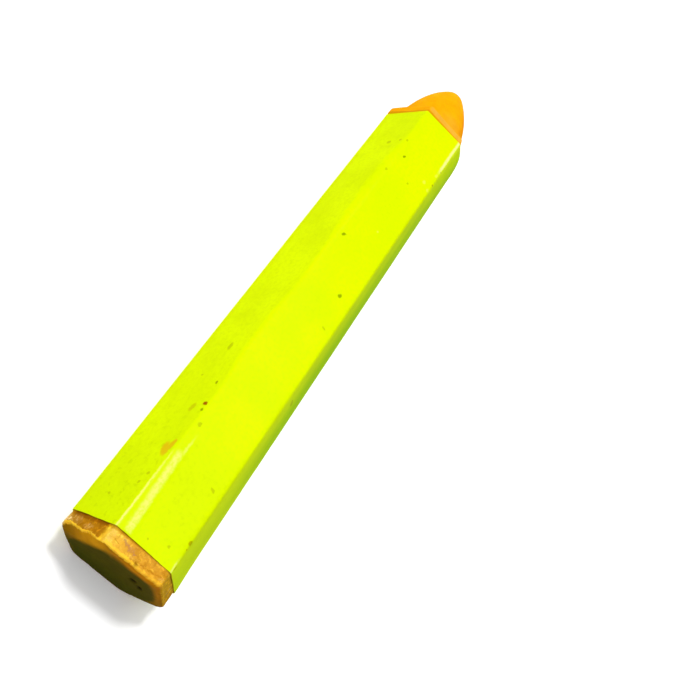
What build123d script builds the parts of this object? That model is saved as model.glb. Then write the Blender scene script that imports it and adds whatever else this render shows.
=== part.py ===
from build123d import *

import math
import os

# Hexagonal wax marking crayon in a paper wrapper, lying on one of its flats.
#
# Frame: +X runs along the stick towards the nose, +Z is up, and +Y is to the left of someone
# who looks towards the nose. The origin is the centre of the bounding box's base, on the
# surface that the crayon lies on. The pieces are built with the stick's axis on the X axis
# and the wrapper's butt end at x = 0, and are moved to the origin when they are written.
# All sizes are in mm, and angles in degrees.

# Wax stick
wax_across_flats = 16.0
bar_corner_radius = 0.5
butt_length = 2.75  # bare wax behind the wrapper, along the axis
butt_edge_radius = 0.45
collar_length = 2.1  # bare hexagonal collar in front of the wrapper
shoulder_radius = 0.9  # rounding of the collar's front edges

# Bullet nose: a long flank arc that runs into a small round tip
nose_length = 18.85  # from the wrapper's front end to the apex
flank_radius = 34.4
tip_radius = 3.1
nose_root_radius = 7.5  # nose radius where it leaves the collar
nose_embed = 1.5  # how far the flank is carried back into the collar

# Paper wrapper: one sheet wound round the stick, its outer end lapped over its inner end
paper_thickness = 0.15
wrapper_length = 99.1
lap_face_angle = -30.0  # direction that the lapped flat faces, from +Y towards +Z
lap_position = -2.0  # inner end of the sheet, measured across that flat from its middle
lap_width = 5.0  # overlap from the inner end to the outer end
climb_width = 1.2  # stretch in which the outer layer climbs on to the inner one
climb_clearance = 0.2  # from the top of the climb to the inner end

# Paste strip under the lap
glue_thickness = 0.05
glue_margin = 0.4  # dry paper on each side of the strip

# Both butt ends are cut slightly out of square, leaning forward on the +Y side
end_skew = 2.5

wrapper_across_flats = wax_across_flats + 2 * paper_thickness
wrapper_corner_radius = bar_corner_radius + paper_thickness
bar_front = wrapper_length + collar_length
spare_length = 5.0  # stock length that the skewed end cuts remove
flat_radius = wax_across_flats / 2  # from the axis to the middle of a flat


def hexagon(across_flats, corner_radius):
    """Section of the stick or wrapper: flats above and below, corners rounded."""
    outline = RegularPolygon(radius=across_flats / 2, side_count=6, major_radius=False)
    return fillet(outline.vertices(), radius=corner_radius)


def stock(section, front_x):
    """Section drawn in YZ, run along X from behind the butt to front_x."""
    start = Plane.YZ.offset(-butt_length - spare_length)
    return extrude(start * section, amount=front_x + butt_length + spare_length)


def cut_butt(piece, butt_x):
    """Piece with everything behind its skewed butt plane removed."""
    size = 4 * wax_across_flats
    waste = Box(size, size, size, align=(Align.MAX, Align.CENTER, Align.CENTER))
    return piece - Location((butt_x, 0, 0), (0, 0, -end_skew)) * waste


def make_nose():
    """Bullet nose: its half outline in the XZ plane, turned about the stick's axis."""
    tip_centre = Vector(wrapper_length + nose_length - tip_radius, 0)
    root = Vector(bar_front, nose_root_radius)

    # The flank's centre is flank_radius away from the root, and its arc touches the tip's
    # arc from outside, so it is flank_radius - tip_radius away from the tip's centre.
    span = tip_centre - root
    reach = flank_radius - tip_radius
    along = (span.length**2 + flank_radius**2 - reach**2) / (2 * span.length)
    across = math.sqrt(flank_radius**2 - along**2)
    forward = span.normalized()
    flank_centre = root + forward * along + Vector(forward.Y, -forward.X) * across

    def flank_point(x):
        height = math.sqrt(flank_radius**2 - (x - flank_centre.X) ** 2)
        return Vector(x, flank_centre.Y + height)

    join = flank_centre + (tip_centre - flank_centre).normalized() * flank_radius
    back = flank_point(bar_front - nose_embed)
    tip_middle = tip_centre + ((join - tip_centre).normalized() + Vector(1, 0)).normalized() * tip_radius
    apex = tip_centre + Vector(tip_radius, 0)
    foot = Vector(back.X, 0)

    outline = [
        ThreePointArc(back, flank_point((back.X + join.X) / 2), join),
        ThreePointArc(join, tip_middle, apex),
        Line(apex, foot),
        Line(foot, back),
    ]
    half_section = Plane.XZ * make_face(outline)
    return revolve(half_section, axis=Axis.X)


def make_wax_stick():
    """Hexagonal bar with a rounded shoulder, a skewed butt and the nose, in one casting."""
    sharp = RegularPolygon(radius=flat_radius, side_count=6, major_radius=False)
    bar = stock(sharp, bar_front)
    bar = cut_butt(bar, -butt_length)
    bar = fillet(bar.edges().filter_by(Axis.X), radius=bar_corner_radius)
    bar = fillet(bar.faces().sort_by(Axis.X)[-1].edges(), radius=shoulder_radius)
    bar = fillet(bar.faces().sort_by(Axis.X)[0].edges(), radius=butt_edge_radius)
    return bar + make_nose()


def on_lap_flat(section):
    """Section drawn with X across the lapped flat and Y outwards, moved on to the stick's flat."""
    centre = Location((0, 0, 0), (0, 0, lap_face_angle - 90))
    return centre * (Location((0, flat_radius, 0)) * section)


def make_paper_wrapper():
    """One turn of paper round the stick, whose outer end climbs over its inner end."""
    ring = hexagon(wrapper_across_flats, wrapper_corner_radius)
    ring -= hexagon(wax_across_flats, bar_corner_radius)

    climb_start = lap_position - climb_width
    climb_end = lap_position - climb_clearance
    lap_end = lap_position + lap_width
    inner = paper_thickness + glue_thickness
    outer = inner + paper_thickness
    opening = make_face(
        Polyline(
            (climb_start, 0),
            (lap_position, 0),
            (lap_position, paper_thickness),
            (climb_start, paper_thickness),
            close=True,
        )
    )
    flap = make_face(
        Polyline(
            (climb_start, 0),
            (climb_end, inner),
            (lap_end, inner),
            (lap_end, outer),
            (climb_end, outer),
            (climb_start, paper_thickness),
            close=True,
        )
    )
    section = ring - on_lap_flat(opening) + on_lap_flat(flap)
    return cut_butt(stock(section, wrapper_length), 0)


def make_lap_glue():
    """Thin dry paste strip between the two layers of the lap."""
    strip = Pos(0, paper_thickness, 0) * Rectangle(
        lap_width - 2 * glue_margin,
        glue_thickness,
        align=(Align.CENTER, Align.MIN),
    )
    strip = Pos(lap_position + lap_width / 2, 0, 0) * strip
    return cut_butt(stock(on_lap_flat(strip), wrapper_length), 0)


pieces = {
    "wax_stick": make_wax_stick(),
    "paper_wrapper": make_paper_wrapper(),
    "lap_glue": make_lap_glue(),
}

stick_box = pieces["wax_stick"].bounding_box()
to_origin = Pos(-stick_box.center().X, 0, wrapper_across_flats / 2)

for name, piece in pieces.items():
    export_step(to_origin * piece, f"parts/{name}.step")

whole = Compound(children=[to_origin * piece for piece in pieces.values()])
size = whole.bounding_box().size
print(f"overall {size.X:.2f} x {size.Y:.2f} x {size.Z:.2f} mm")
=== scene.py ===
import math
from functools import reduce

import bmesh
import bpy
import numpy as np
from mathutils import Matrix, Vector, noise


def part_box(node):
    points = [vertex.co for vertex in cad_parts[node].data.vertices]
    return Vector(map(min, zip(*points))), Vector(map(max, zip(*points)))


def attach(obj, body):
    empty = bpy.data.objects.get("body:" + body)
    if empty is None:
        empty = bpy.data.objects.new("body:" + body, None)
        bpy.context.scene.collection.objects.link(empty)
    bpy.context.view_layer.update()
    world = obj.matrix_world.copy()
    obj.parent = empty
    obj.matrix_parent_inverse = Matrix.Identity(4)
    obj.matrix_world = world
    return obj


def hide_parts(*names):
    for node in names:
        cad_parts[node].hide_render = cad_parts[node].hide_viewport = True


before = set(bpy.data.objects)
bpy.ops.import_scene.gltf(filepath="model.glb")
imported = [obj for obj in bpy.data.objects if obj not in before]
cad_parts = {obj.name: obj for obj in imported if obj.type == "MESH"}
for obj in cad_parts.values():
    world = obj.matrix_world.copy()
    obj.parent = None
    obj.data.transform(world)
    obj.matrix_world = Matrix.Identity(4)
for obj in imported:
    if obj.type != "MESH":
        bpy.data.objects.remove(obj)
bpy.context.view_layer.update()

# Looks of a hexagonal wax marking crayon in a glossy paper wrapper.
#
# Lengths are in mm until a mesh is made, and colours are linear. "Around" is a place on the
# section, in faces: 0 is the ridge on the +Y side, and it rises over the top, so that 0-1 is
# the upper left flat, 1-2 the top flat and 2-3 the upper right flat, and the crayon rests on
# 4-5. "Across" is the same place in mm on the unrolled paper. "Run" is the distance along the
# bar from the wrapper's butt end, and "beyond" the distance past its front end.

MM = 0.001
SIDES = 6
TINY = 1e-6
WHITE = (1.0, 1.0, 1.0, 1.0)
TINTS = ("tint_red", "tint_green", "tint_blue")  # attributes that carry the wax's colour

# Noise on the meshes: how fast its octaves weaken and shrink, and how far each seed moves it
OCTAVE_FADE = 0.9
OCTAVE_GAP = 2.1
SEED_STEPS = (17.3, 9.1, 4.7)

# ---- Sizes, from the frame where it gives them ----


def box_mm(node):
    """Lowest and highest corners of a CAD node, in mm."""
    low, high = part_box(node)
    return np.array(low) / MM, np.array(high) / MM


wrapper_low, wrapper_high = box_mm("paper_wrapper")
wax_low, wax_high = box_mm("wax_stick")

axis_z = (wrapper_low[2] + wrapper_high[2]) / 2
wrapper_flat = (wrapper_high[2] - wrapper_low[2]) / 2
wax_flat = (wax_high[2] - wax_low[2]) / 2
paper = wrapper_flat - wax_flat
side = wrapper_flat * 2 / math.sqrt(3)  # width of one flat of the wrapper, sharp to sharp

end_skew = 2.5  # degrees; both butt cuts lean forward on the +Y side
butt_slope = math.tan(math.radians(end_skew))
wrapper_back = wrapper_low[0] + wrapper_high[1] * butt_slope  # on the axis
wrapper_front = wrapper_high[0]
wrapper_length = wrapper_front - wrapper_back
bare_butt = 2.75
tucked = 0.9  # how far the butt's finer mesh runs on under the paper
butt_x = wrapper_back - bare_butt
collar_overlap = 0.6  # how far the collar's mesh starts under the paper
nose_root_x = wrapper_front + 2.1
shoulder_x = wrapper_front + 2.82
apex_x = wax_high[0]

# Nose: a flank arc from the root on the collar to a small round tip
flank_radius = 34.4
tip_radius = 3.1
tip_x = apex_x - tip_radius
nose_root_radius = 7.5
shoulder_round = 1.1

# Radii of the wax's ridges, from the left one round
butt_corners = [1.2, 0.5, 0.6, 2.2, 3.8, 2.2]  # at the butt face
seated_corners = [0.8, 0.5, 0.6, 2.2, 1.4, 1.2]  # where the wrapper starts
buried_corners = [2.6, 2.6, 2.6, 3.4, 2.6, 2.6]  # under the paper
collar_corners = [0.6, 0.5, 0.5, 2.8, 0.5, 0.5]
butt_swell = 0.3  # how far the butt's left and top left ridges stand out towards +Y
front_belly = 0.5  # how far the upper right flat bulges at the wrapper's front end
belly_run = 23.0  # length of bar over which it does

# The edge mark of a point of wax is how far it lies in from the sides on the butt face, in mm.
# On the butt's bare sides it is below 0, by the distance from the worn edge.
buried = -9.0  # edge mark of all wax that isn't part of the bare butt

# Worn edge of the butt: (around, mm along the bar) and (around, mm in from the side)
edge_rise = [
    (0, 0.62), (0.17, 0.95), (0.33, 0.7), (0.48, 0.48), (0.65, 0.66), (0.8, 0.3), (1, 0.2),
    (1.38, 0.22), (1.47, 0.5), (1.56, 0.24), (1.7, 0.24), (2, 0.5), (3, 0.4), (4.5, 0.3),
    (5.5, 0.35), (6, 0.62),
]
edge_inset = [
    (0, 0.9), (0.25, 1.8), (0.6, 2), (0.95, 1.1), (1.2, 0.7), (1.8, 0.8), (2.1, 0.9), (2.5, 1),
    (3, 0.7), (3.3, 0.35), (4, 0.35), (5, 0.35), (5.7, 0.5), (6, 0.9),
]
least_rise = 0.1  # least reach of the worn edge along the bar

# Pits in the butt face, a little taller than wide: (y, z) from the axis, size, depth
pit_squash = 0.8
butt_pits = [((-2.72, 2.1), 0.5, 0.55), ((-4.05, 1.5), 0.34, 0.45), ((-4.4, 1.1), 0.34, 0.45)]
# Pits near the butt's lip: run, around, size, depth
band_pits = [(-2.2, 1.54, 0.3, 0.3)]

# Lap of the paper, on the lower left flat, across from the left ridge: below 0 is down
glue = 0.05
lap_outer_end = -7.7
lap_inner_end = -2.7
lap_climb_top = -2.5
lap_climb_foot = -1.5

# Folds of the paper: (run, how far the top left one stands off towards +Y, its radius)
top_left_fold = [
    (0, 0.25, 0.45), (13, 0.2, 0.45), (19, 0.05, 0.5), (24, 0, 0.6), (33, 0.6, 1.3),
    (39, 0.55, 1.2), (49, 0.12, 0.8), (56, 0.2, 0.9), (66, 0.55, 2), (74, 0.7, 2.6), (84, 0.5, 2),
    (90, 0.05, 0.7), (99, 0, 0.4),
]
right_fold = [(0, 1.9), (6, 2.6), (80, 2.6), (97, 2.9), (99, 2.9)]  # (run, radius)
fold_radii = [0.6, 0, 0.6, 0, 0.75, 0.75]  # the rest, from the left ridge round

# How far forward the wrapper's cut ends lie at each ridge, from the left one round
trim_run = 6.0  # length of paper over which this dies away
back_trims = [0.05, 0.0, -0.22, 0.0, 0.0, 0.0]
front_trims = [-0.4, -0.1, 0.4, 0.1, 0.0, -0.3]

# ---- Colours and marks ----

# Bare sides of the butt: (around, red, green, blue)
flank_tints = [
    (0, 0.64, 0.36, 0.04), (0.12, 0.37, 0.165, 0.003), (0.5, 0.41, 0.175, 0.003),
    (0.84, 0.41, 0.17, 0.003), (0.9, 0.76, 0.45, 0.02), (1, 0.88, 0.6, 0.09),
    (1.1, 0.82, 0.48, 0.05), (1.35, 0.68, 0.335, 0.028), (1.9, 0.63, 0.3, 0.022),
    (2, 0.6, 0.31, 0.018), (2.1, 0.52, 0.29, 0.008), (2.5, 0.5, 0.275, 0.008),
    (3, 0.42, 0.21, 0.005), (3.5, 0.38, 0.165, 0.002), (5.5, 0.38, 0.165, 0.002),
    (5.9, 0.46, 0.22, 0.01), (6, 0.62, 0.34, 0.05),
]
# Butt face, just inside the worn edge: (around, red, green, blue)
face_tints = [
    (0, 0.56, 0.235, 0.002), (0.75, 0.63, 0.285, 0.002), (1, 0.6, 0.255, 0.002),
    (1.2, 0.54, 0.195, 0.001), (2.2, 0.5, 0.185, 0.001), (6, 0.5, 0.205, 0.002),
]
# Grime and painted shade on the butt face: (around, least cover, edge marks where it starts and where
# it is full)
face_grime_and_shade = [
    (0, 0.65, 0.5, 3.2), (0.1, 0.6, 0.9, 3.3), (0.25, 0.3, 0.9, 3.2), (0.5, 0, 0.9, 3.1),
    (0.75, 0, 1.2, 3.1), (0.95, 0, 1, 3.4), (1.1, 0.36, -0.5, 4), (1.3, 0.2, -0.8, 3.5),
    (1.5, 0, 0.5, 2.9), (1.75, 0, 0.4, 2.7), (1.95, 0.05, 0, 2.5), (2.2, 0.2, -0.2, 1.7),
    (2.5, 0.35, -0.3, 1.4), (2.8, 0.6, 0, 1.8), (3, 0.7, 0.3, 2), (3.3, 0.95, 0, 1),
    (5.6, 0.95, 0, 1), (6, 0.65, 0.5, 3.2),
]
# Dark olive of the soiled butt face, darkened further as painted shade; the second is darker towards
# the bottom
grime_and_shade = np.array([0.058, 0.047, 0.0003])
low_grime_and_shade = np.array([0.044, 0.046, 0.0006])  # towards the underside
# Painted shade on the bare wax beside the paper's edge: share of each colour it takes away
paper_shadow_share = np.array([0.28, 0.4, 0.85])  # share of each colour lost beside the paper
nose_orange = np.array([0.88, 0.37, 0.0012])
# Painted shade down the right side of the nose
nose_shaded_side_orange = np.array([0.86, 0.31, 0.0008])
# Bloomed, scuffed wax, with a painted highlight on the shoulder's top flat
peach_sheen_and_bloom = np.array([0.75, 0.4, 0.04])
# Soiling with painted shadow beside the paper's front edge
contact_shadow_soil_orange = np.array([0.62, 0.265, 0.0008])
# Chipped wax with a painted highlight on the worn edge's burr
lip_highlight_yellow = (0.94, 0.56, 0.028)
# Painted shade inside the pits
pit_shadow_black = (0.012, 0.006, 0.0)

# Marks: run, across, length along the bar, width, then turn in degrees and softness
# Pale scuffs on the butt's bare sides; the last one, on the upper right flat, is a painted glint
pale_scuffs_and_glint = [
    (-0.8, 1.9, 1.3, 2.4, 0, 0.6), (-1.1, 5, 0.9, 1.5, 0, 0.6),
    (-0.9, side + 0.25, 1.7, 0.8, 0, 0.5), (-1.85, side + 4.1, 0.3, 1.3, -20, 0.4),
    (-1.7, side + 9, 0.7, 0.7, 0, 0.4), (-1.3, 2 * side + 5.4, 1.2, 0.5, 0, 0.6),
]
pale_chips = [(-1.4, 0.3, 1.9, 0.6, 0, 0.4), (-0.9, 1, 0.5, 0.5, 0, 0.5)]
mauve_scratches = [
    (-0.75, side + 2.3, 0.45, 1, 25), (-1, side + 3.1, 0.65, 2, 15), (-1.35, side + 4.1, 0.5, 0.5),
]
dark_nicks = [
    (-1.25, side + 1.2, 0.25, 1.1, 30), (-1.3, side + 4.9, 0.3, 0.8, 25),
    (-2.25, side + 5.1, 0.55, 0.7), (-1.85, side + 6.6, 0.16, 3.4, -3),
    (-1.62, side + 8.6, 0.14, 1.2, -12),
]
dark_specks = [
    (61.4, side + 1.45, 1, 0.45, 35), (51.3, side + 6.8, 0.95, 0.6, 10),
    (85.3, side + 2, 0.8, 0.45), (20.1, 9, 0.45, 0.5), (25.2, 8, 0.6, 0.5),
]
faint_specks = [
    (44.4, side + 7.66, 0.4, 0.7, 20), (32.2, 6, 1.6, 0.65, -4), (18, side + 0.75, 0.75, 0.6),
    (11.8, side + 7.75, 0.35, 0.85, 25), (4, 4.2, 0.45, 0.5), (6.8, 7.7, 0.45, 0.4),
    (8.4, 8.2, 0.5, 0.6), (88.1, 6, 1, 0.8), (88.8, 8.2, 0.7, 0.5), (89, side + 0.3, 0.6, 0.5),
    (79.7, side + 0.7, 0.7, 0.5), (81, side + 5.35, 0.5, 0.4), (26.2, 4.4, 0.35, 0.35),
    (2.3, side + 7.2, 0.4, 0.4), (1.3, side + 4.3, 0.35, 0.3), (31.8, 2 * side + 3.2, 0.9, 1.6),
]
brown_smear = [(12.6, 7.9, 2.3, 1.3, -20), (13.3, 8.5, 1.9, 0.9, 10), (14, 8.75, 0.9, 0.5)]
olive_smudge = [(20.2, 7, 1.5, 0.75, 12)]
red_spot = [(21.25, 8.8, 0.62, 0.78)]
ridge_nicks = [
    (4.3, 2 * side, 0.7, 0.75), (3.4, 2 * side + 0.15, 0.3, 0.3), (0.8, 2 * side + 0.3, 0.9, 0.22),
    (85.6, 2 * side, 0.4, 0.5), (89.8, 2 * side, 0.35, 0.5),
]
rubbed_spots = [
    (67.3, side + 6, 0.5, 0.4), (84.5, side + 7.7, 0.9, 0.7), (83.6, 2 * side - 0.3, 0.9, 0.5),
    (88.1, 2 * side - 0.45, 1, 0.6),
]
# The wax's marks, with the noise levels between which they show, their strength and colour
wax_marks = [
    (pale_scuffs_and_glint, 0.46, 0.6, 0.5, (0.74, 0.46, 0.12)),
    (pale_chips, 0.34, 0.5, 0.9, (0.86, 0.62, 0.26)),
    (mauve_scratches, 0.36, 0.52, 0.85, (0.46, 0.2, 0.07)),
    (dark_nicks, 0.34, 0.56, 0.7, (0.46, 0.185, 0.004)),
]
# The paper's marks, with their strength and colour
paper_marks = [
    (dark_specks, 0.75, (0.13, 0.2, 0.0)),
    (faint_specks, 0.45, (0.26, 0.3, 0.0)),
    (brown_smear, 0.85, (0.66, 0.42, 0.004)),
    (olive_smudge, 0.55, (0.42, 0.4, 0.0)),
    (red_spot, 0.95, (0.3, 0.05, 0.0)),
    (ridge_nicks, 0.7, (0.3, 0.24, 0.0)),
    (rubbed_spots, 0.6, (0.78, 0.84, 0.06)),
]

# Neon ink of the paper
ink_deep = (0.635, 0.79, 0.0)
ink_light = (0.69, 0.855, 0.0)
ink_fibre = (0.55, 0.71, 0.0)
ink_butt = (0.52, 0.7, 0.0)
ink_cloud = (0.52, 0.68, 0.0)
# Flecks, partly painted shade of the paper's wrinkles
ink_fleck_and_shade = (0.44, 0.6, 0.0)
# Painted shade on the upper right flat and the far side
ink_far_side_shade = (0.33, 0.585, 0.0)
# Pale rubbed ink, with a painted highlight on the top right ridge's front end
ink_rubbed_and_glint = (0.8, 0.84, 0.24)
# Painted highlight on the creases near the butt
ink_crease_highlight = (0.79, 0.83, 0.165)
raw_paper = (0.46, 0.26, 0.02), (0.6, 0.38, 0.06)
paste = (0.62, 0.52, 0.28), (0.78, 0.7, 0.45)
floor_greys = (0.84, 0.84, 0.84), (0.86, 0.86, 0.86)

# Lamps: name, direction the light comes from, its apparent size in degrees, its strength
suns = [
    ("key", (0.25, 0.17, 0.95), 7.5, 1.75),
    ("softbox", (0.27, 0.18, 0.95), 60.0, 2.08),
    ("butt_fill", (-0.85, -0.1, 0.5), 70.0, 0.4),
]
ambient = 0.08

camera_place = (-81.9, 26.07, 117.89)
camera_target = (-6.99, -11.52, 8.15)
camera_roll = 65.18  # degrees
camera_lens = 40.09

# ---- Geometry helpers ----


def ramp(value, low, high):
    """Smooth rise from 0 to 1 as value goes from low to high."""
    t = np.clip((value - low) / (high - low), 0.0, 1.0)
    return t * t * (3 - 2 * t)


def bell(value, centre, width):
    """Bell curve of height 1."""
    return np.exp(-(((value - centre) / width) ** 2))


def glide(value, places, heights):
    """Curve through the given heights at the given places, level at each of them."""
    left = np.clip(np.searchsorted(places, value, "right") - 1, 0, len(places) - 2)
    share = ramp(value, places[left], places[left + 1])
    return heights[left] * (1 - share) + heights[left + 1] * share


def by_place(where, table):
    """Numbers at each place, blended linearly between a table's rows of (place, *numbers)."""
    places, *columns = np.array(table).T
    values = [np.interp(where, places, column) for column in columns]
    return values[0] if len(values) == 1 else np.stack(values, -1)


def by_ridge(around, values):
    """Values given at the six ridges, blended linearly between them."""
    return np.interp(np.mod(around, SIDES), np.arange(SIDES + 1), [*values, values[0]])


def from_left(around):
    """Faces round from the left ridge, from -3 to 3."""
    return np.mod(around + SIDES / 2, SIDES) - SIDES / 2


def fractal(points, size, octaves, seed):
    """Smooth noise from about -1 to 1 at each point; size is its largest feature, in mm."""
    shift = Vector([step * seed for step in SEED_STEPS])
    spots = points.reshape(-1, 3) / size
    values = [noise.fractal(Vector(spot) + shift, OCTAVE_FADE, OCTAVE_GAP, octaves) for spot in spots]
    return np.array(values).reshape(points.shape[:-1])


def line_noise(values, size, octaves, seed):
    """Smooth noise along one line."""
    zeros = np.zeros_like(values)
    return fractal(np.stack([values, zeros, zeros], -1), size, octaves, seed)


def rounded_section(corners, radii, around):
    """Points and outward normals (y, z) on rounded six-sided sections, one section a row.

    corners is (rows, 6, 2), radii is (rows, 6) and around is (columns,).
    """
    ends = np.roll(corners, -1, axis=1)
    lengths = np.linalg.norm(ends - corners, axis=-1)
    runs = (ends - corners) / lengths[..., None]
    normals = np.stack([runs[..., 1], -runs[..., 0]], -1)
    facing = (normals * np.roll(normals, 1, axis=1)).sum(-1)
    turns = np.arccos(np.clip(facing, -1.0, 1.0))
    tangents = radii * np.tan(turns / 2)

    flat = np.floor(around).astype(int)
    share = around - flat
    here, following = flat % SIDES, (flat + 1) % SIDES
    run, normal, length = runs[:, here], normals[:, here], lengths[:, here]
    tangent, end_tangent = tangents[:, here], tangents[:, following]
    from_start, from_end = share * length, (1 - share) * length
    near_start = np.clip(1 - from_start / tangent, 0.0, 1.0)
    near_end = np.clip(1 - from_end / end_tangent, 0.0, 1.0)
    turn = near_end * turns[:, following] / 2 - near_start * turns[:, here] / 2
    radius = np.where(near_end > 0, radii[:, following], radii[:, here])
    reach = np.where(near_start > 0, tangent, from_start)
    reach = np.where(near_end > 0, length - end_tangent, reach)
    sine, cosine = np.sin(turn)[..., None], np.cos(turn)[..., None]
    outward = normal * cosine + run * sine
    base = corners[:, here] + run * reach[..., None]
    return base + radius[..., None] * (outward - normal), outward


def hexagon_corners(flat):
    """Sharp corners (y, z) of a regular hexagon about the axis, given its half width."""
    angles = np.arange(SIDES) * math.pi / 3
    return flat / math.cos(math.pi / SIDES) * np.stack([np.cos(angles), np.sin(angles)], -1)


def uneven_rows(start, end, ridge_zone, fine, coarse):
    """Places round the section in mm, closer together near the ridges."""
    rows = []
    place = start
    while place < end - TINY:
        rows.append(place)
        gap = abs(place / side - round(place / side)) * side
        place += fine if gap < ridge_zone else coarse
    rows.append(end)
    return np.array(rows)


def put(name, data):
    """New object in the scene."""
    thing = bpy.data.objects.new(name, data)
    bpy.context.scene.collection.objects.link(thing)
    return thing


def tube(along, wide):
    """Faces and UVs of a tube of points, ring by ring.

    along is (rings, columns) in mm. wide is the place round the tube in mm, and has one column
    more, for the way back to the first one.
    """
    rings, columns = along.shape
    faces, uvs = [], []
    for i in range(rings - 1):
        for j in range(columns):
            spots = [(i, j), (i + 1, j), (i + 1, j + 1), (i, j + 1)]
            faces.append(tuple(ring * columns + column % columns for ring, column in spots))
            uvs.append([(along[ring, column % columns], wide[ring, column]) for ring, column in spots])
    return faces, uvs


def mesh_object(name, points, faces, uvs, attributes, material):
    """Closed mesh in metres, with a UV map in mm and one float attribute per entry."""
    mesh = bpy.data.meshes.new(name)
    mesh.from_pydata((points * MM).tolist(), [], faces)
    layer = mesh.uv_layers.new(name="surface_mm")
    corners = np.array([uv for face_uvs in uvs for uv in face_uvs], float)
    layer.data.foreach_set("uv", corners.ravel())
    for label, values in attributes.items():
        attribute = mesh.attributes.new(label, "FLOAT", "POINT")
        attribute.data.foreach_set("value", np.asarray(values, np.float32))
    mesh.validate()
    mesh.shade_smooth()
    mesh.materials.append(material)
    return put(name, mesh)


def sharpen(piece, degrees):
    """Marks edges that turn by more than this as sharp, and points all faces outwards."""
    work = bmesh.new()
    work.from_mesh(piece.data)
    bmesh.ops.recalc_face_normals(work, faces=work.faces)
    for edge in work.edges:
        edge.smooth = edge.calc_face_angle(0.0) < math.radians(degrees)
    work.to_mesh(piece.data)
    work.free()


# ---- Shader helpers ----

TEAR_SCALE = 2.2  # of the noise that tears the edges of marks, per mm


class Shader:
    """A procedural material, with short ways to write the node tree that feeds it.

    tear is how far its torn surface coordinates wander, in mm. The constants are values of the
    surface's own sockets.
    """

    def __init__(self, name, tear=0.5, **constants):
        self.material = bpy.data.materials.new(name)
        self.material.use_nodes = True
        self.tree = self.material.node_tree
        self.surface = self.tree.nodes["Principled BSDF"]
        for socket, value in constants.items():
            self.surface.inputs[socket.replace("_", " ")].default_value = value
        self.uv = self.add("UVMap", uv_map="surface_mm").outputs["UV"]
        self.place = self.add("TexCoord").outputs["Object"]
        wobble = self.add("TexNoise", {"Vector": self.uv, "Scale": TEAR_SCALE})
        drift = self.vector("SUBTRACT", wobble.outputs["Color"], (0.5, 0.5, 0.5))
        self.torn_uv = self.vector("ADD", self.uv, self.vector("MULTIPLY", drift, (tear, tear, 0.0)))

    def add(self, kind, inputs=None, **settings):
        """New node. Its inputs are given by name or number, as values or outputs."""
        node = self.tree.nodes.new("ShaderNode" + kind)
        for name, value in settings.items():
            setattr(node, name, value)
        for socket, value in (inputs or {}).items():
            self.feed(node.inputs[socket], value)
        return node

    def feed(self, socket, value):
        if isinstance(value, bpy.types.NodeSocket):
            self.tree.links.new(value, socket)
        else:
            socket.default_value = value

    def math(self, operation, a, b=0.0, clamp=False):
        return self.add("Math", {0: a, 1: b}, operation=operation, use_clamp=clamp).outputs[0]

    def vector(self, operation, a, b=(0.0, 0.0, 0.0)):
        node = self.add("VectorMath", {0: a, 1: b}, operation=operation)
        return node.outputs["Value" if operation == "LENGTH" else "Vector"]

    def every(self, *masks, operation="MULTIPLY"):
        """Product of masks."""
        return reduce(lambda whole, mask: self.math(operation, whole, mask), masks)

    def either(self, *masks):
        """Greatest of masks."""
        return self.every(*masks, operation="MAXIMUM")

    def stretched(self, along, across):
        """The torn surface coordinates, scaled."""
        return self.vector("MULTIPLY", self.torn_uv, (along, across, 1.0))

    def step(self, value, low, high, start=0.0, end=1.0):
        """Smooth rise from start to end as value goes from low to high."""
        inputs = {0: value, 1: low, 2: high, 3: start, 4: end}
        return self.add("MapRange", inputs, interpolation_type="SMOOTHSTEP").outputs[0]

    def noise(self, vector, scale, detail, roughness=0.5):
        inputs = {"Vector": vector, "Scale": scale, "Detail": detail, "Roughness": roughness}
        return self.add("TexNoise", inputs).outputs[0]

    def mix(self, amount, a, b, blend="MIX"):
        a, b = ((*c, 1.0) if isinstance(c, tuple) else c for c in (a, b))
        inputs = {0: amount, 6: a, 7: b}
        return self.add("Mix", inputs, data_type="RGBA", blend_type=blend).outputs[2]

    def attribute(self, name):
        return self.add("Attribute", attribute_name=name).outputs["Fac"]

    def split(self, vector):
        return self.add("SeparateXYZ", {0: vector}).outputs

    def band(self, value, centre, half, soft):
        """Mask of a stripe: 1 within half of the centre, fading over soft to either side."""
        away = self.math("ABSOLUTE", self.math("SUBTRACT", value, centre))
        return self.step(away, half - soft, half + soft, 1.0, 0.0)

    def spot(self, run, across, length, width, turn=0.0, soft=0.35):
        """Mask of one ragged mark on the unrolled surface, in mm and degrees."""
        inputs = {
            "Vector": self.torn_uv,
            "Location": (run, across, 0.0),
            "Rotation": (0.0, 0.0, math.radians(turn)),
            "Scale": (length / 2, width / 2, 1.0),
        }
        node = self.add("Mapping", inputs, vector_type="TEXTURE")
        away = self.vector("LENGTH", node.outputs[0])
        return self.step(away, 1.0 - soft, 1.0 + soft, 1.0, 0.0)

    def spots(self, marks):
        """Mask of several marks together."""
        return self.either(*(self.spot(*mark) for mark in marks))

    def bump(self, height, distance, strength, under=None):
        """Relief of a height, on top of the relief under it."""
        inputs = {"Strength": strength, "Distance": distance, "Height": height}
        if under is not None:
            inputs["Normal"] = under
        return self.add("Bump", inputs).outputs[0]

    def finish(self, colour, relief=None, roughness=None):
        """The material, with its colour, relief and roughness fed to its surface."""
        for socket, value in (("Base Color", colour), ("Normal", relief), ("Roughness", roughness)):
            if value is not None:
                self.feed(self.surface.inputs[socket], value)
        return self.material


# ---- Wax stick ----


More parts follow.
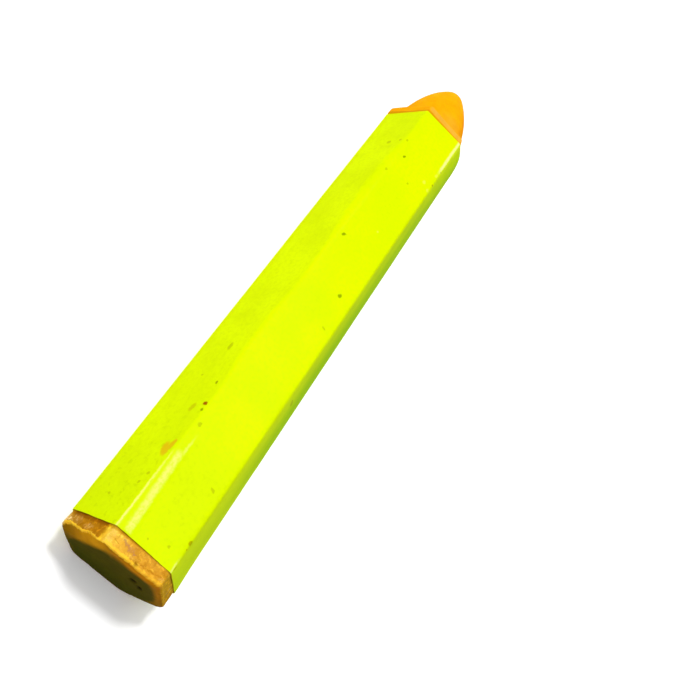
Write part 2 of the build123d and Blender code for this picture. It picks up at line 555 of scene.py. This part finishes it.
def nose_radius(x):
    """Radius of the bullet nose at x: flank arc, then tip arc."""
    root, tip_centre = np.array([[nose_root_x, nose_root_radius], [tip_x, 0.0]])
    span = tip_centre - root
    length = np.hypot(*span)
    forward = span / length
    reach = flank_radius - tip_radius
    along = (length**2 + flank_radius**2 - reach**2) / (2 * length)
    across = math.sqrt(flank_radius**2 - along**2)
    centre = root + forward * along + np.array([forward[1], -forward[0]]) * across
    towards_tip = (tip_centre - centre) / reach
    join_x = centre[0] + towards_tip[0] * flank_radius
    flank = centre[1] + np.sqrt(np.maximum(flank_radius**2 - (x - centre[0]) ** 2, 0.0))
    tip = np.sqrt(np.maximum(tip_radius**2 - (x - tip_x) ** 2, 0.0))
    return np.where(x < join_x, flank, tip)


def resample(line, count):
    """count points along a line, at even steps."""
    steps = np.r_[0.0, np.cumsum(np.hypot(*np.diff(line, axis=0).T))]
    wanted = steps[-1] * np.linspace(0.0, 1.0, count)
    return np.stack([np.interp(wanted, steps, line[:, k]) for k in (0, 1)], -1)


def soften(line, spacing, width):
    """Line resampled at even spacing and blurred along itself, its ends kept."""
    steps = np.hypot(*np.diff(line, axis=0).T).sum()
    even = resample(line, max(int(steps / spacing), 8))
    reach = int(3 * width / spacing)
    kernel = np.exp(-0.5 * (np.arange(-reach, reach + 1) * spacing / width) ** 2)
    kernel /= kernel.sum()
    start = 2 * even[0] - even[reach:0:-1]
    end = 2 * even[-1] - even[-2 : -reach - 2 : -1]
    padded = np.vstack([start, even, end])
    return np.stack([np.convolve(padded[:, k], kernel, "valid") for k in (0, 1)], -1)


def front_profile(outline_radius, collar_rings, nose_rings):
    """Profile (x, radius) of the collar, shoulder and nose at one place round the bar."""
    arc_points, ledge_points, flank_points, tip_points = 24, 30, 200, 60
    arc = np.linspace(0.0, math.pi / 2, arc_points)
    shrink = (wax_flat - shoulder_round + shoulder_round * np.cos(arc)) / wax_flat
    shoulder_run = shoulder_x - shoulder_round + shoulder_round * np.sin(arc)
    shoulder = np.stack([shoulder_run, outline_radius * shrink], -1)
    start = [wrapper_front - collar_overlap, outline_radius]
    ledge = np.linspace(shoulder[-1], [shoulder_x, nose_radius(shoulder_x)], ledge_points)
    collar = np.vstack([start, shoulder, ledge])
    outside = collar[:, 1] >= nose_radius(collar[:, 0]) - TINY
    collar = collar[np.logical_and.accumulate(outside)]

    flank_x = np.linspace(collar[-1, 0], tip_x, flank_points)
    flank = np.stack([flank_x, nose_radius(flank_x)], -1)
    tip_angle = np.linspace(0.0, math.pi / 2, tip_points)
    cap = np.stack([tip_x + tip_radius * np.sin(tip_angle), tip_radius * np.cos(tip_angle)], -1)
    cap = cap[cap[:, 0] > flank[-1, 0]]
    cap[:-1, 1] = nose_radius(cap[:-1, 0])
    line = soften(np.vstack([collar, flank[1:], cap]), spacing=0.04, width=0.16)
    crease = np.hypot(*(line - collar[-1]).T).argmin()
    collar_part = resample(line[: crease + 1], collar_rings)
    nose_part = resample(line[crease:], nose_rings)
    return np.vstack([collar_part, nose_part[1:]])


def worn_edge(turn, places):
    """How far the butt's worn edge reaches along the bar and in from its side, in mm."""
    on_top = ramp(turn, 0.0, 0.15) * (1 - ramp(turn, 2.0, 2.2))
    ragged = 0.07 * line_noise(places, 1.2, 4, 1.0) + 0.1 * line_noise(places, 0.5, 3, 2.0)
    rise = by_place(turn, edge_rise) + ragged * (0.3 + 0.7 * on_top)
    inset = by_place(turn, edge_inset) * (1 + 0.1 * line_noise(places, 2.0, 3, 3.0))
    return np.maximum(rise, least_rise), inset


def butt_rows(places, swollen, seated):
    """Rings of the bare butt end: its face, its worn edge and the bare side of the bar.

    swollen is its section at the edge, and seated the section where the wrapper starts. The
    second result is each point's edge mark.
    """
    turn = np.mod(places / side, SIDES)
    rise, inset = worn_edge(turn, places)
    # Share of the edge that is a straight bevel, and not round: most on the upper left flat
    bevel = 0.35 + 0.5 * bell(turn, 0.5, 0.5)
    face_rings, edge_rings, side_rings = 44, 20, 32
    crowding = 1.25  # over 1, the face's rings lie closer together near its edge
    flush = np.zeros_like(places)
    rings = []  # of each: place along the bar, inset from its side, edge mark, share of seated
    for share in (1 - np.linspace(0.0, 1.0, face_rings + 1) ** crowding)[-2::-1]:
        inward = wax_flat - share * (wax_flat - inset)
        rings.append((flush, inward, inward, 0.0))
    for share in np.linspace(0.0, 1.0, edge_rings + 2)[1:-1]:
        angle = share * math.pi / 2
        depth = rise * ((1 - math.cos(angle)) * (1 - bevel) + share * bevel)
        inward = inset * ((1 - math.sin(angle)) * (1 - bevel) + (1 - share) * bevel)
        rings.append((depth, inward, inward, 0.0))
    for share in np.linspace(0.0, 1.0, side_rings):
        run = share * (bare_butt + tucked - rise)
        rings.append((rise + run, flush, -run, ramp(share, 0.1, 0.7)))
    depths, insets, marks, settled = map(np.array, zip(*rings))
    section = swollen + (seated - swollen) * settled[:, None, None]
    yz = section * (1 - insets / wax_flat)[..., None]
    x = butt_x + depths + butt_slope * yz[..., 0]
    return np.dstack([x, yz]), marks


def wax_sections(around):
    """Sections (y, z) of the wax: at the butt, where the paper starts, under it, at the collar."""
    sharp = hexagon_corners(wax_flat)
    swell = np.array([butt_swell, 0.0])
    left, top_left = np.eye(SIDES)[:2, :, None]
    kinds = (
        (sharp + (left + top_left) * swell, butt_corners),
        (sharp + top_left * swell, seated_corners),
        (sharp, buried_corners),
        (sharp, collar_corners),
    )
    return [
        rounded_section(corners[None], np.array([radii]), around)[0][0]
        for corners, radii in kinds
    ]


def wax_rows(places):
    """Rings of points (x, y, z) of the smooth casting, about the axis, and their edge marks."""
    around = places / side
    swollen, seated, soft, even = wax_sections(around)
    butt, butt_marks = butt_rows(places, swollen, seated)

    hidden_rings, collar_rings, nose_rings = 24, 26, 76
    reach = np.linalg.norm(even, axis=-1)
    direction = even / reach[:, None]
    front = np.array([front_profile(radius, collar_rings, nose_rings) for radius in reach])
    front = front.transpose(1, 0, 2)[:-1]
    front_rows = np.dstack([front[..., 0], front[..., 1:] * direction])

    # The collar reaches further forward by the left ridge
    bare_run = front_rows[..., 0] - wrapper_front
    on_collar = ramp(bare_run, 0.3, 2.0) * (1 - ramp(bare_run, 3.0, 7.0))
    front_rows[..., 0] += 0.35 * bell(from_left(around), 0.3, 0.5) * on_collar

    # The bar under the paper, with the softer ridges that the paper follows
    shares = np.linspace(0.0, 1.0, hidden_rings + 2)[1:-1, None]
    from_butt = (1 - ramp(shares, 0.0, 0.1))[..., None]
    from_front = ramp(shares, 0.9, 1.0)[..., None]
    hidden_x = butt[-1, :, 0] * (1 - shares) + front_rows[0, :, 0] * shares
    hidden_yz = soft + (seated - soft) * from_butt + (even - soft) * from_front
    hidden = np.dstack([hidden_x, hidden_yz])
    rest_marks = np.full((hidden_rings + len(front_rows), len(places)), buried)
    return np.vstack([butt, hidden, front_rows]), np.vstack([butt_marks, rest_marks])


def is_butt(marks):
    """Which points are on the bare butt."""
    return marks > buried + 1


def wax_pits(rows, marks, turn):
    """Painted shade in the pits at each point, from 0 to 1, and how deep the point lies in them, in mm.
    """
    local = rows[..., 0] - wrapper_back
    shade, deep = np.zeros_like(marks), np.zeros_like(marks)
    on_face = marks > 0.5
    for (y, z), size, depth in butt_pits:
        away = np.hypot(rows[..., 1] - y, (rows[..., 2] - z) * pit_squash)
        shade = np.maximum(shade, ramp(-away, -size * 1.3, -size * 0.7) * on_face)
        deep += depth * bell(away, 0.0, size) * on_face
    for run, across, size, depth in band_pits:
        away = np.hypot(local - run, (turn - across) * side)
        near = bell(away, 0.0, size) * (marks < 1.0) * is_butt(marks)
        shade = np.maximum(shade, 0.5 * near)
        deep += depth * near
    return shade, deep


def wax_tint(rows, marks, turn):
    """Colour of the wax at each point, before its finer grain."""
    local = rows[..., 0] - wrapper_back
    beyond = local - wrapper_length

    # Bare sides of the butt, with painted shade where they go under the paper
    near_paper = ramp(local, -0.4, -0.08)[..., None]
    side_tint = by_place(turn, flank_tints) * (1 - near_paper * paper_shadow_share)

    # Butt face: ochre inside the worn edge, then years of soiling, darkened further with painted shade
    least, start, full = by_place(turn, face_grime_and_shade).T
    edge = marks + 0.28 * fractal(rows, 2.4, 3, 41.0)
    soiled_and_shaded = np.maximum(least, ramp(edge, start, full))[..., None]
    low = ramp(-rows[..., 2], -3.0, 7.0)[..., None]
    olive = grime_and_shade * (1 - low) + low_grime_and_shade * low
    face_tint = by_place(turn, face_tints) * (1 - soiled_and_shaded) + olive * soiled_and_shaded
    on_face = ramp(marks, 0.0, 0.2)[..., None]
    butt_tint = side_tint * (1 - on_face) + face_tint * on_face

    # Nose and collar: pale peach on the top flat, bloomed wax with a painted highlight; painted shade
    # down the right side; and a dark line of soiling and painted shadow beside the paper
    top = ramp(turn, 0.97, 1.08) * (1 - ramp(turn, 1.95, 2.08))
    sheen_and_bloom = top * ramp(beyond, 0.7, 1.0) * (1 - ramp(beyond, 1.7, 2.4))
    sheen_and_bloom += 0.35 * bell(beyond, 4.0, 1.6) * bell(turn, 1.62, 0.28)
    contact_shadow_and_soil = (1 - ramp(beyond, 0.55, 0.85)) * (beyond > -1.0)
    shaded = bell(turn, 2.15, 0.2) * ramp(beyond, 3.0, 5.0)
    front_tint = nose_orange
    for colour, share in (
        (nose_shaded_side_orange, shaded),
        (peach_sheen_and_bloom, np.clip(sheen_and_bloom, 0, 0.9)),
        (contact_shadow_soil_orange, 0.8 * contact_shadow_and_soil),
    ):
        front_tint = front_tint + (colour - front_tint) * share[..., None]

    tint = np.where(is_butt(marks)[..., None], butt_tint, front_tint)
    return tint * (1 + 0.07 * fractal(rows, 2.2, 3, 42.0))[..., None]


def wax_relief(rows, marks, turn, pit_depth):
    """Small displacements of the wax: worn butt, chips, pits and a handled nose."""
    bare = is_butt(marks)
    local = rows[..., 0] - wrapper_back
    beyond = local - wrapper_length
    radial = rows * (0.0, 1.0, 1.0)
    radial /= np.maximum(np.linalg.norm(radial, axis=-1, keepdims=True), TINY)
    back = np.array([-1.0, 0.0, 0.0])
    on_face = ramp(marks, 0.05, 0.5)[..., None]
    outward = radial * (1 - on_face) + back * on_face
    outward /= np.linalg.norm(outward, axis=-1, keepdims=True)

    # An uneven face, and an edge that is chipped and stands up as a burr on the upper flats
    height = fractal(rows, 5.0, 2, 3.0) * 0.07 * ramp(marks, 0.3, 2.0)
    height += fractal(rows, 1.1, 3, 4.0) * 0.03
    on_top = ramp(turn, 0.0, 0.15) * (1 - ramp(turn, 2.3, 2.8))
    chips = ramp(fractal(rows, 1.4, 3, 5.0), 0.1, 0.5) * (0.15 + 0.85 * on_top)
    height -= chips * 0.16 * bell(marks, 0.2, 0.5)
    height += bell(marks, -0.1, 0.16) * 0.06 * (1 + fractal(rows, 0.9, 2, 6.0)) * on_top

    # Drag marks along the bare side, a flat worn on the top left ridge, a crack on the top
    streaks = fractal(np.dstack([local * 0.25, rows[..., 1:]]), 0.8, 3, 9.0)
    height += 0.035 * streaks * ramp(-marks, 0.0, 0.3)
    worn_ridge = bell(turn, 0.965, 0.075) * (1 - ramp(marks, 0.3, 1.5))
    height -= 0.2 * worn_ridge * (1 - ramp(local, -0.3, 0.2))
    crack_run = -1.86 + 0.25 * ramp(turn, 1.8, 2.0) + 0.1 * line_noise(turn * side, 1.5, 2, 10.0)
    cracked = ramp(turn, 1.5, 1.58) * (1 - ramp(turn, 1.9, 2.0))
    height -= 0.12 * bell(local, crack_run, 0.09) * cracked
    height *= bare
    height -= pit_depth

    # The collar fills the paper's belly, and is full by the left ridge; the nose is handled
    height += 0.85 * belly(turn, local) * (1 - ramp(beyond, 0.8, 2.6))
    left = bell(from_left(turn), 0.0, 0.3)
    height += 0.22 * left * ramp(beyond, -0.3, 0.4) * (1 - ramp(beyond, 1.6, 2.8))
    on_nose = ramp(beyond, 0.4, 2.0)
    height += on_nose * (fractal(rows, 6.0, 2, 7.0) * 0.05 + fractal(rows, 1.4, 2, 8.0) * 0.012)
    return outward * height[..., None]


def make_wax(material):
    """Whole wax casting: worn butt, hidden bar, collar, shoulder and nose."""
    start, end = -1.5 * side, 4.5 * side
    places = uneven_rows(start, end, ridge_zone=1.0, fine=0.15, coarse=0.19)[:-1]
    turn = np.mod(places / side, SIDES)
    rows, marks = wax_rows(places)
    pit_shade, pit_depth = wax_pits(rows, marks, turn)
    tint = wax_tint(rows, marks, turn)
    traces = {name: tint[..., channel] for channel, name in enumerate(TINTS)}
    traces.update(edge_mark=marks, pits=pit_shade)
    rows += wax_relief(rows, marks, turn, pit_depth)
    rows[..., 2] += axis_z

    # A middle point closes each end
    middle = rows[0].mean(axis=0)
    apex = [apex_x, 0.0, axis_z]
    points = np.vstack([rows.reshape(-1, 3), middle, apex])
    attributes = {
        name: np.append(values, [values[0].mean(), values[-1].mean()])
        for name, values in traces.items()
    }
    wide = np.append(places, places[0] + SIDES * side)
    along = rows[..., 0] - wrapper_back
    last, columns = len(rows) - 1, len(places)
    faces, uvs = tube(along, np.broadcast_to(wide, (last + 1, columns + 1)))
    for j in range(columns):
        k = (j + 1) % columns
        left, right = wide[j], wide[j + 1]
        faces.append((len(points) - 2, j, k))
        uvs.append([(along[0, j], left), (along[0, j], left), (along[0, k], right)])
        faces.append((len(points) - 1, last * columns + k, last * columns + j))
        uvs.append([(along[last, j], left), (along[last, k], right), (along[last, j], left)])
    return mesh_object("crayon_wax", points, faces, uvs, attributes, material)


def torn_lip_highlight(shader, mark, lumps, scratchy):
    """Mask of the lip, with a painted highlight on the worn edge's burr: thin on the upper left flat,
    wider on the top.
    """
    step, every, band = shader.step, shader.every, shader.band
    raggedness = shader.math("MULTIPLY", shader.math("SUBTRACT", scratchy, 0.5), 0.7)
    torn_mark = shader.math("ADD", mark, raggedness)
    _, across, _ = shader.split(shader.torn_uv)
    top_flat = band(across, 1.48 * side, side / 2, 0.3)
    notch = band(across, side + 4.6, 0.6, 0.3)
    wide = every(top_flat, step(notch, 0.0, 1.0, 1.0, 0.2))
    reach = step(wide, 0.0, 1.0, -0.2, -0.4)
    return every(
        step(shader.math("SUBTRACT", torn_mark, reach), -0.08, 0.08),
        step(torn_mark, 0.1, 0.3, 1.0, 0.0),
        step(across, -0.8, 0.9),
        step(across, 1.93 * side, 2.01 * side, 1.0, 0.0),
        step(lumps, 0.36, 0.58, 1.0, 0.6),
        step(across, 1.45 * side, 1.7 * side, 1.0, 0.45),
    )


def wax_material():
    shader = Shader(
        "crayon_wax",
        tear=0.9,
        Subsurface_Weight=0.2,
        Subsurface_Radius=(1.0, 0.45, 0.08),
        Subsurface_Scale=0.0018,
        Specular_IOR_Level=0.0,
        Coat_Weight=0.03,
        Coat_Roughness=0.35,
    )
    step, every, mix = shader.step, shader.every, shader.mix
    mark = shader.attribute("edge_mark")
    channels = dict(enumerate(shader.attribute(name) for name in TINTS))
    colour = shader.add("CombineColor", channels).outputs[0]
    on_side = every(step(mark, -5.0, -4.0), step(mark, 0.0, 0.25, 1.0, 0.0))
    grain = shader.noise(shader.place, 900.0, 4.0, 0.6)
    cloud = shader.noise(shader.place, 160.0, 3.0, 0.5)
    streaks = shader.noise(shader.stretched(0.5, 3.0), 1.0, 3.0, 0.6)
    lumps = shader.noise(shader.stretched(1.3, 1.0), 1.0, 4.0, 0.65)
    scratchy = shader.noise(shader.stretched(1.5, 2.4), 1.0, 4.0, 0.65)

    # Grain, then the lumps, drag marks and scuffs of the bare sides
    for mask, tone, blend in (
        (step(grain, 0.4, 0.8, 0.0, 0.5), (0.8, 0.76, 0.7), "MULTIPLY"),
        (step(cloud, 0.4, 0.65, 0.0, 0.5), (0.94, 0.9, 0.8), "MULTIPLY"),
        (every(on_side, step(lumps, 0.5, 0.68, 0.0, 0.8)), (0.84, 0.74, 0.45), "MULTIPLY"),
        (every(on_side, step(lumps, 0.48, 0.34, 0.0, 0.6)), (1.0, 1.0, 1.0), "OVERLAY"),
        (every(on_side, step(streaks, 0.5, 0.66, 0.0, 0.6)), (0.82, 0.76, 0.6), "MULTIPLY"),
    ):
        colour = mix(mask, colour, tone, blend)
    for marks, low, high, strength, paint in wax_marks:
        shown = step(scratchy, low, high, 0.1, strength)
        colour = mix(every(shader.spots(marks), shown, on_side), colour, paint)

    # The lip: chipped wax with a painted highlight
    colour = mix(torn_lip_highlight(shader, mark, lumps, scratchy), colour, lip_highlight_yellow)
    # Painted shade in the pits
    colour = mix(shader.attribute("pits"), colour, pit_shadow_black)

    rough = step(streaks, 0.2, 0.8, 0.4, 0.55)
    matt = step(mark, 0.2, 2.5, 0.0, 0.15)
    relief = shader.bump(grain, 0.1 * MM, 0.6)
    relief = shader.bump(shader.math("ADD", streaks, lumps), 0.15 * MM, 0.4, relief)
    return shader.finish(colour, relief, shader.math("ADD", rough, matt))


# ---- Paper wrapper and paste ----


def wrapper_sections(along):
    """Sharp corners and fold radii of the wrapper's outside at each distance along it."""
    corners = np.tile(hexagon_corners(wrapper_flat), (len(along), 1, 1))
    radii = np.tile(fold_radii, (len(along), 1))
    places, stands, top_left_radii = np.array(top_left_fold).T
    corners[:, 1, 0] += glide(along, places, stands)
    radii[:, 1] = glide(along, places, top_left_radii)
    radii[:, 3] = glide(along, *np.array(right_fold).T)
    radii += 0.08 * line_noise(along, 9.0, 2, 11.0)[:, None]
    return corners, radii


def belly(around, along):
    """How far the upper right flat bulges out towards the wrapper's front end."""
    across = np.sin(math.pi * np.clip(around - 2, 0.0, 1.0)) ** 2
    return front_belly * across * ramp(along, wrapper_length - belly_run, wrapper_length)


def paper_lift(along, place):
    """How far the sheet stands off the wax, in mm, at a place on the unrolled surface."""
    around = place / side
    spot = np.dstack([along, place, np.zeros_like(along)])
    lift = 0.02 + 0.016 * (1 + fractal(spot, 9.0, 2, 21.0)) + 0.006 * fractal(spot, 2.5, 2, 24.0)
    lift += 0.03 * bell(along, 0.0, 1.6) * (1 + fractal(spot, 3.0, 2, 22.0))
    lift += 0.03 * bell(along, wrapper_length, 1.2) * (1 + fractal(spot, 3.0, 2, 23.0))

    # Second crease on the top flat, from the butt towards the ridge
    crease = side + 1.55 - 0.03 * along
    lift += (1 - ramp(along, 9.0, 18.0)) * 0.1 * bell(place, crease, 0.6)
    lift += belly(around, along)

    # Nothing bulges where the crayon rests
    resting = ramp(around, 3.9, 4.1) * (1 - ramp(around, 4.9, 5.1))
    return np.maximum(lift, 0.0) * (1 - resting) + 0.004


def cut_ends(places):
    """How far forward the paper's back and front edges lie, in mm, at places round it."""
    around = places / side
    over_lap = np.sin(math.pi * np.clip(np.mod(around, SIDES) - 5, 0.0, 1.0))
    over_belly = np.sin(math.pi * np.clip(around - 2, 0.0, 1.0) ** 0.7)
    back = by_ridge(around, back_trims) + 0.08 * line_noise(places, 7.0, 3, 31.0)
    back = back + 0.03 * line_noise(places, 0.8, 2, 32.0) - 0.2 * over_lap
    front = by_ridge(around, front_trims) + 0.65 * over_lap + 0.8 * over_belly
    front = front + 0.05 * line_noise(places, 8.0, 3, 33.0) + 0.02 * line_noise(places, 0.8, 2, 34.0)
    return back, front


def make_wrapper(material):
    """One sheet wound round the bar, with its lap and its cut ends."""
    inner_end = SIDES * side + lap_inner_end
    places = uneven_rows(lap_outer_end, inner_end, ridge_zone=2.4, fine=0.22, coarse=0.5)
    back_zone, front_zone = 20.0, wrapper_length - 10.0  # the mesh is coarser between them
    back_run = np.arange(0.0, back_zone, 0.32)
    middle_run = np.arange(back_zone, front_zone, 0.64)
    front_run = np.linspace(front_zone, wrapper_length, 34)
    runs = np.concatenate([back_run, middle_run, front_run])
    along, place = np.meshgrid(runs, places, indexing="ij")
    section, outward = rounded_section(*wrapper_sections(runs), places / side)

    climb = 1 - ramp(place, lap_climb_top, lap_climb_foot)
    stand_off = climb * (paper + glue) + paper_lift(along, place)
    back_trim, front_trim = cut_ends(places)
    near_back = 1 - ramp(along, 0.0, trim_run)
    near_front = ramp(along, wrapper_length - trim_run, wrapper_length)
    layers = []
    for depth in (0.0, -paper):
        yz = section + outward * (stand_off + depth)[..., None]
        x = wrapper_back + along + near_front * front_trim
        x += near_back * (butt_slope * yz[..., 0] + back_trim)
        layers.append(np.dstack([x, yz + (0.0, axis_z)]))

    outer, inner = layers
    loop = np.hstack([outer, inner[:, ::-1]])
    loop_place = np.hstack([place, place[:, ::-1]])
    loop_along = np.tile(along, 2)
    faces, uvs = tube(loop_along, np.hstack([loop_place, place[:, :1]]))
    rows, columns = loop.shape[:2]
    half = len(places)
    for i in (0, rows - 1):
        for j in range(half - 1):
            spots = [(i, j), (i, j + 1), (i, columns - 2 - j), (i, columns - 1 - j)]
            faces.append(tuple(row * columns + column for row, column in spots))
            uvs.append([(loop_along[spot], loop_place[spot]) for spot in spots])
    inside = np.tile(np.arange(columns) >= half, rows)
    points = loop.reshape(-1, 3)
    return mesh_object("crayon_wrapper", points, faces, uvs, {"inside": inside}, material)


def ridge_wear_and_glint(shader, run, fibres, mottle):
    """Mask of ink rubbed thin on the ridges, most at the two ends of the top right one; at its front
    end it also holds a painted highlight along the ridge.
    """
    step, every, band = shader.step, shader.every, shader.band
    _, across, _ = shader.split(shader.torn_uv)
    front = every(band(across, 2 * side - 0.36, 0.26, 0.16), step(run, 88.5, 91.0))
    butt = every(
        band(across, 2 * side - 0.12, 0.13, 0.1),
        step(run, 2.6, 1.0),
        step(mottle, 0.42, 0.54, 0.15, 0.7),
    )
    wear_and_glint = every(shader.either(front, butt), step(fibres, 0.3, 0.5, 0.45, 1.0))
    for ridge in (0, 3, 5):
        line = band(across, ridge * side, 0.22, 0.2)
        wear_and_glint = shader.either(wear_and_glint, every(line, step(mottle, 0.5, 0.68, 0.0, 0.3)))
    return wear_and_glint


def crease_highlights(shader, run, fibres, mottle):
    """Mask of painted highlights on the creases that run in from the butt, on the top left ridge and
    beside it.
    """
    step, every, band = shader.step, shader.every, shader.band
    torn_run, across, _ = shader.split(shader.torn_uv)
    fine = every(band(across, side, 0.11, 0.09), step(run, 13.2, 11.5), step(run, 14.0, 1.0, 0.35, 1.0))
    drift = shader.math("ADD", across, shader.math("MULTIPLY", run, 0.045))
    broad = every(
        band(drift, side + 1.6, 0.44, 0.3),
        step(torn_run, 13.6, 12.4),
        step(torn_run, 0.1, 0.6),
        step(fibres, 0.32, 0.58, 0.3, 0.85),
        step(mottle, 0.3, 0.5, 0.55, 1.0),
    )
    wisp = every(
        band(across, side + 1.45, 0.16, 0.12),
        step(torn_run, 17.0, 14.0),
        step(torn_run, 12.6, 13.6, 0.0, 0.45),
    )
    return shader.either(fine, broad, wisp)


def wrapper_material():
    shader = Shader("wrapper_paper", Specular_IOR_Level=0.0, Coat_Weight=0.03, Coat_Roughness=0.14)
    step, every, mix, band = shader.step, shader.every, shader.mix, shader.band
    run, across, _ = shader.split(shader.uv)
    broad = shader.noise(shader.uv, 0.1, 3.0, 0.5)
    fibres = shader.noise(shader.uv, 1.6, 5.0, 0.65)
    mottle = shader.noise(shader.uv, 0.9, 3.0, 0.6)
    smudges = shader.noise(shader.uv, 0.32, 3.0, 0.55)
    long_uv = shader.vector("MULTIPLY", shader.uv, (0.02, 0.7, 1.0))
    fold_lines = shader.noise(long_uv, 0.8, 3.0, 0.6)

    # Neon ink with faint fibres and clouds, a little darker towards the butt
    upper_left = band(across, side / 2 - 0.3, side / 2, 0.3)
    colour = mix(step(broad, 0.35, 0.65), ink_deep, ink_light)
    colour = mix(step(fibres, 0.4, 0.72, 0.0, 0.5), colour, ink_fibre)
    colour = mix(step(run, 30.0, 0.0, 0.0, 0.3), colour, ink_butt)
    cloudy = step(upper_left, 0.0, 1.0, 0.12, 0.22)
    colour = mix(every(step(smudges, 0.5, 0.68), cloudy), colour, ink_cloud)

    # Painted shade on the far side: it darkens away from the top and lightens again underneath
    falling = step(across, 2 * side, 2.8 * side, 0.0, 1.0)
    rising = step(across, 3.1 * side, 4 * side, 1.0, 0.0)
    far_side_shade = every(falling, step(run, 2.0, 30.0, 0.25, 0.75), rising)
    past_ridge = step(across, 2 * side - 0.1, 2.2 * side)
    extra = every(step(run, 6.0, 40.0, 0.0, 0.22), past_ridge, rising)
    far_side_shade = shader.math("ADD", far_side_shade, extra, clamp=True)
    far_side_shade = shader.math("MULTIPLY", far_side_shade, step(fold_lines, 0.3, 0.7, 0.8, 1.1), clamp=True)
    colour = mix(far_side_shade, colour, ink_far_side_shade)

    # Flecks that thicken towards the butt, partly painted shade of the paper's wrinkles, strongest on
    # the upper left flat
    flecks_and_shade = every(
        step(mottle, 0.55, 0.68),
        step(run, 26.0, 4.0, 0.12, 0.45),
        step(upper_left, 0.0, 1.0, 0.5, 1.0),
    )
    colour = mix(flecks_and_shade, colour, ink_fleck_and_shade)

    wear_and_glint = ridge_wear_and_glint(shader, run, fibres, mottle)
    colour = mix(wear_and_glint, colour, ink_rubbed_and_glint)
    colour = mix(crease_highlights(shader, run, fibres, mottle), colour, ink_crease_highlight)
    for marks, strength, ink in paper_marks:
        colour = mix(every(shader.spots(marks), strength), colour, ink)
    colour = mix(shader.attribute("inside"), colour, mix(fibres, *raw_paper))

    rough = step(fibres, 0.3, 0.7, 0.42, 0.55)
    rough = shader.math("ADD", rough, every(wear_and_glint, 0.2))
    relief = shader.bump(fibres, 0.05 * MM, 0.6)
    relief = shader.bump(mottle, 0.12 * MM, 0.2, relief)
    return shader.finish(colour, relief, rough)


def glue_material():
    shader = Shader("dried_paste", Roughness=0.6)
    cloud = shader.noise(shader.place, 900.0, 3.0)
    return shader.finish(shader.mix(cloud, *paste), shader.bump(cloud, 0.03 * MM, 0.5))


# ---- Stage: floor, light and camera ----


def make_floor():
    half = 3.0  # m
    drop = 0.00001  # m, so that the floor isn't in the plane of the flat that rests on it
    mesh = bpy.data.meshes.new("floor")
    corners = [(-half, -half), (half, -half), (half, half), (-half, half)]
    mesh.from_pydata([(x, y, -drop) for x, y in corners], [], [(0, 1, 2, 3)])
    shader = Shader(
        "floor_white",
        Roughness=0.8,
        Specular_IOR_Level=0.0,
        Emission_Color=WHITE,
        Emission_Strength=0.2,
    )
    cloud = shader.noise(shader.place, 3.0, 2.0)
    mesh.materials.append(shader.finish(shader.mix(cloud, *floor_greys)))
    floor = put("floor", mesh)


def make_sun(name, towards, width, strength):
    """Soft light from the given direction; width is its apparent size in degrees."""
    light = bpy.data.lights.new(name, "SUN")
    light.angle = math.radians(width)
    light.energy = strength
    put(name, light).rotation_euler = Vector(towards).to_track_quat("Z", "Y").to_euler()


def make_world():
    """White surround to the camera, a weak white light to everything else."""
    world = bpy.data.worlds.new("studio")
    bpy.context.scene.world = world
    world.use_nodes = True
    nodes, links = world.node_tree.nodes, world.node_tree.links
    weak, seen = nodes["Background"], nodes.new("ShaderNodeBackground")
    weak.inputs["Strength"].default_value = ambient
    for light in (weak, seen):
        light.inputs["Color"].default_value = WHITE
    path, mix = nodes.new("ShaderNodeLightPath"), nodes.new("ShaderNodeMixShader")
    for k, output in enumerate((path.outputs["Is Camera Ray"], weak.outputs[0], seen.outputs[0])):
        links.new(output, mix.inputs[k])
    links.new(mix.outputs[0], nodes["World Output"].inputs["Surface"])


def make_camera():
    """Camera above the butt end, looking along the stick."""
    place, target = Vector(camera_place) * MM, Vector(camera_target) * MM
    data = bpy.data.cameras.new("camera")
    data.lens = camera_lens
    data.clip_start = 0.005
    data.clip_end = 20.0
    camera = put("camera", data)
    level = (target - place).to_track_quat("-Z", "Y").to_matrix()
    rolled = level @ Matrix.Rotation(math.radians(camera_roll), 3, "Z")
    camera.matrix_world = Matrix.Translation(place) @ rolled.to_4x4()
    bpy.context.scene.camera = camera


make_camera()
make_world()
make_floor()
for sun in suns:
    make_sun(*sun)
bpy.context.scene.view_settings.view_transform = "Standard"

wax = make_wax(wax_material())
sharpen(wax, degrees=80)
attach(wax, "root")
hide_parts("wax_stick")

wrapper = make_wrapper(wrapper_material())
sharpen(wrapper, degrees=40)
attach(wrapper, "root")
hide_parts("paper_wrapper")

glue_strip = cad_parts["lap_glue"]
glue_strip.data.materials.clear()
glue_strip.data.materials.append(glue_material())
